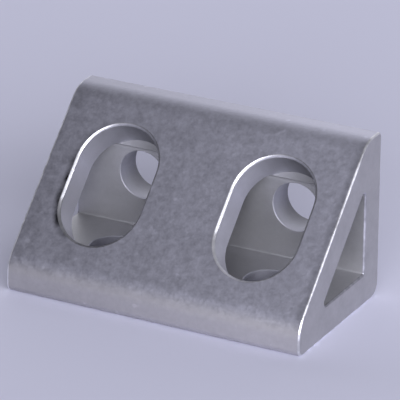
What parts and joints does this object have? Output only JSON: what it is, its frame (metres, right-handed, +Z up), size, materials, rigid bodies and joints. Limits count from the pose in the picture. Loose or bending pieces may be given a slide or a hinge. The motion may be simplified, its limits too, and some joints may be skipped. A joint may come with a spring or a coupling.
{
  "type": "t slot corner bracket",
  "caption": "Closed triangular corner bracket with access slots through its web, which bolts two T-slot framing bars together at a right angle.",
  "frame": {"origin": "under the middle of the bracket, on the base mounting face", "axes": "+X along the extrusion, +Y out of the upright mounting face, +Z up; the base mounting face is on Z = 0"},
  "size_m": [0.0476, 0.0254, 0.0254],
  "materials": {
    "corner_bracket": "clear anodised extrusion, satin, faintly mottled, with brighter edges"
  },
  "bodies": {
    "root": {"corner_bracket": "corner_bracket"}
  },
  "joints": []
}
